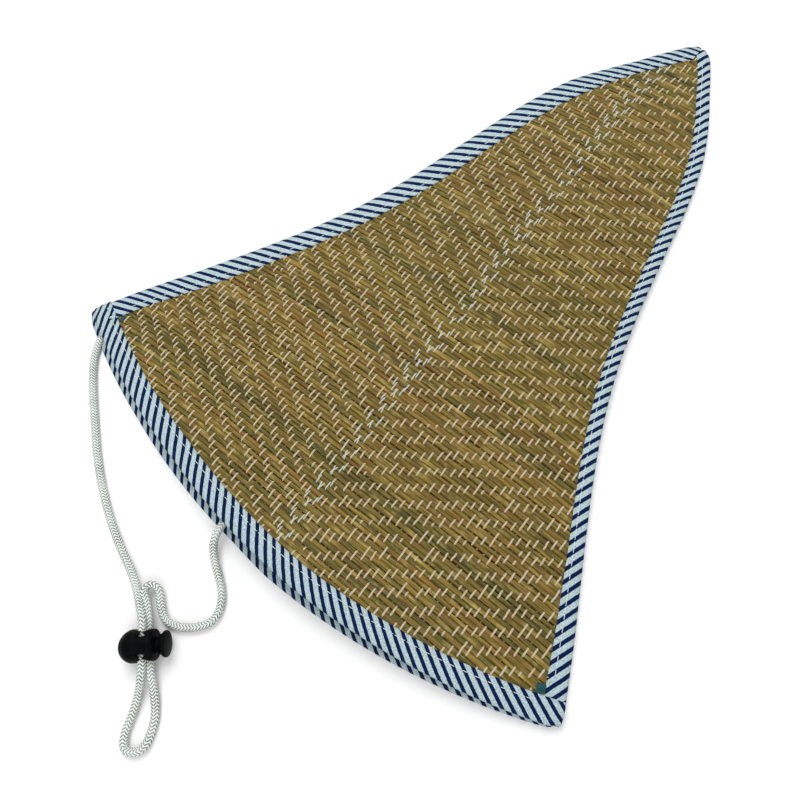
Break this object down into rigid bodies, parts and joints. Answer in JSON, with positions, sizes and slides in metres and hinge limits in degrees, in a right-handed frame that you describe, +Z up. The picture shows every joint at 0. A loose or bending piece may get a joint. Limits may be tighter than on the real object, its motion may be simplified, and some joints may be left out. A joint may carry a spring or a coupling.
{
  "type": "conical hat",
  "caption": "Foldable conical sun hat of woven sedge mat, folded flat, with striped bindings and a corded chin strap with a push-button cord lock.",
  "frame": {"origin": "under the middle of the folded hat, on the surface it lies on", "axes": "+Y towards the hat's point, +X to the right with the brim towards the viewer, +Z up through the folded panels"},
  "size_m": [0.3504, 0.537, 0.0173],
  "materials": {
    "sedge_mat": "woven sedge straw, satin",
    "striped_binding": "woven tape with navy diagonal stripes",
    "teal_tab": "woven cloth",
    "cord": "round braid",
    "lock_plastic": "satin black moulding",
    "spring_steel": "bright wire"
  },
  "bodies": {
    "back_left": {"back_mat_left": "sedge_mat", "back_brim_binding_left": "striped_binding", "left_seam_binding_lower": "striped_binding", "cord_tab_left": "teal_tab", "chin_cord": "cord"},
    "back_right": {"back_mat_right": "sedge_mat", "back_brim_binding_right": "striped_binding", "right_seam_binding_lower": "striped_binding", "cord_tab_right": "teal_tab", "chin_cord_hidden_end": "cord"},
    "front_left": {"front_mat_left": "sedge_mat", "front_brim_binding_left": "striped_binding", "left_seam_binding_upper": "striped_binding"},
    "front_right": {"front_mat_right": "sedge_mat", "front_brim_binding_right": "striped_binding", "right_seam_binding_upper": "striped_binding"},
    "lock_barrel": {"cord_lock_barrel": "lock_plastic", "cord_lock_spring": "spring_steel"},
    "lock_button": {"cord_lock_plunger": "lock_plastic"}
  },
  "joints": [
    {"name": "open_left_seam", "type": "hinge", "parent": "back_left", "child": "front_left", "pos_m": [0, 0.2395, 0.00245], "axis": [-0.3901, -0.9208, 0], "range_deg": [0, 60], "deforming": ["left_seam_binding_lower", "left_seam_binding_upper"]},
    {"name": "bend_front", "type": "hinge", "parent": "front_left", "child": "front_right", "pos_m": [0, 0.2395, 0.00245], "axis": [0, 0.9996, -0.0273], "range_deg": [0, 52.3], "deforming": ["right_seam_binding_upper"]},
    {"name": "bend_back", "type": "hinge", "parent": "back_left", "child": "back_right", "pos_m": [0, 0.2395, 0.00245], "axis": [0, -1, 0], "range_deg": [0, 59.5], "deforming": ["right_seam_binding_lower", "chin_cord_hidden_end"]},
    {"name": "slide_lock", "type": "slide", "parent": "back_left", "child": "lock_barrel", "axis": [0.7071, -0.7071, 0], "range_m": [-0.003, 0.003]},
    {"name": "press_button", "type": "slide", "parent": "lock_barrel", "child": "lock_button", "axis": [-0.7071, -0.7071, 0], "range_m": [0, 0.0016], "stiffness_N_per_m": 400, "springref_m": -0.002, "deforming": ["cord_lock_spring"]}
  ],
  "couplings": [
    {"joint": "bend_front", "follows": "open_left_seam", "ratio": 0.87},
    {"joint": "bend_back", "follows": "open_left_seam", "ratio": 0.99}
  ]
}
